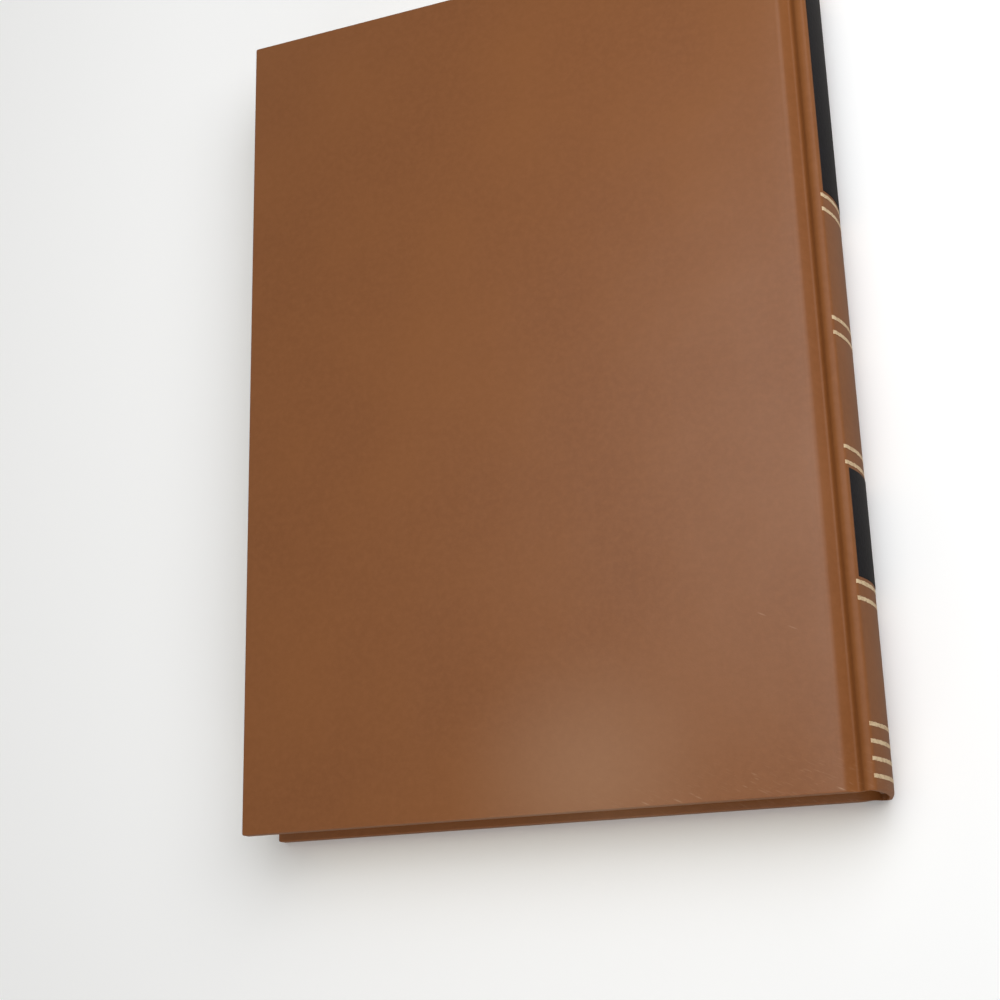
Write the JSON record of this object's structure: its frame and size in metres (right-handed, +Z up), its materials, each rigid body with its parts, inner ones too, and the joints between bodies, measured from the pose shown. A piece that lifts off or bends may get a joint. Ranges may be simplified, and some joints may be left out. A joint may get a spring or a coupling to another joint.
{
  "type": "hardcover book",
  "caption": "Hardcover book in brown leather with a rounded hollow back, gold rules and dark spine labels, whose two covers open.",
  "frame": {"origin": "middle of the closed book's footprint, on the surface it lies on", "axes": "+X towards the spine, +Y towards the head, +Z up towards the back cover, the front cover being underneath"},
  "size_m": [0.1716, 0.241, 0.0236],
  "materials": {
    "brown_leather": "smooth semi-matte brown leather with a fine grain",
    "dark_leather": "smooth dark blue-black leather",
    "gold_leaf": "pale gold stamped into the leather",
    "book_paper": "cut edges of cream paper",
    "endpaper": "plain cream endpaper",
    "grey_board": "grey binder's board",
    "spine_card": "thin stiff card",
    "lining_cloth": "open woven cotton",
    "lining_paper": "brown wrapping paper",
    "band_silk": "striped silk thread over a core"
  },
  "bodies": {
    "book_block": {"text_block": "book_paper", "front_free_endpaper": "endpaper", "back_free_endpaper": "endpaper", "spine_lining_cloth": "lining_cloth", "spine_lining_paper": "lining_paper", "head_band": "band_silk", "tail_band": "band_silk", "spine_inlay": "spine_card", "spine_leather": "brown_leather", "upper_label": "dark_leather", "lower_label": "dark_leather", "tail_rules": "gold_leaf", "pair_rules": "gold_leaf", "head_rules": "gold_leaf"},
    "front_cover": {"front_board": "grey_board", "front_cover_leather": "brown_leather", "front_pastedown": "endpaper"},
    "back_cover": {"back_board": "grey_board", "back_cover_leather": "brown_leather", "back_pastedown": "endpaper"}
  },
  "joints": [
    {"name": "front_cover_hinge", "type": "hinge", "parent": "book_block", "child": "front_cover", "pos_m": [0.0818, 0, 0.0025], "axis": [0, -1, 0], "range_deg": [0, 179.5]},
    {"name": "back_cover_hinge", "type": "hinge", "parent": "book_block", "child": "back_cover", "pos_m": [0.0818, 0, 0.0211], "axis": [0, 1, 0], "range_deg": [0, 179.5]}
  ]
}
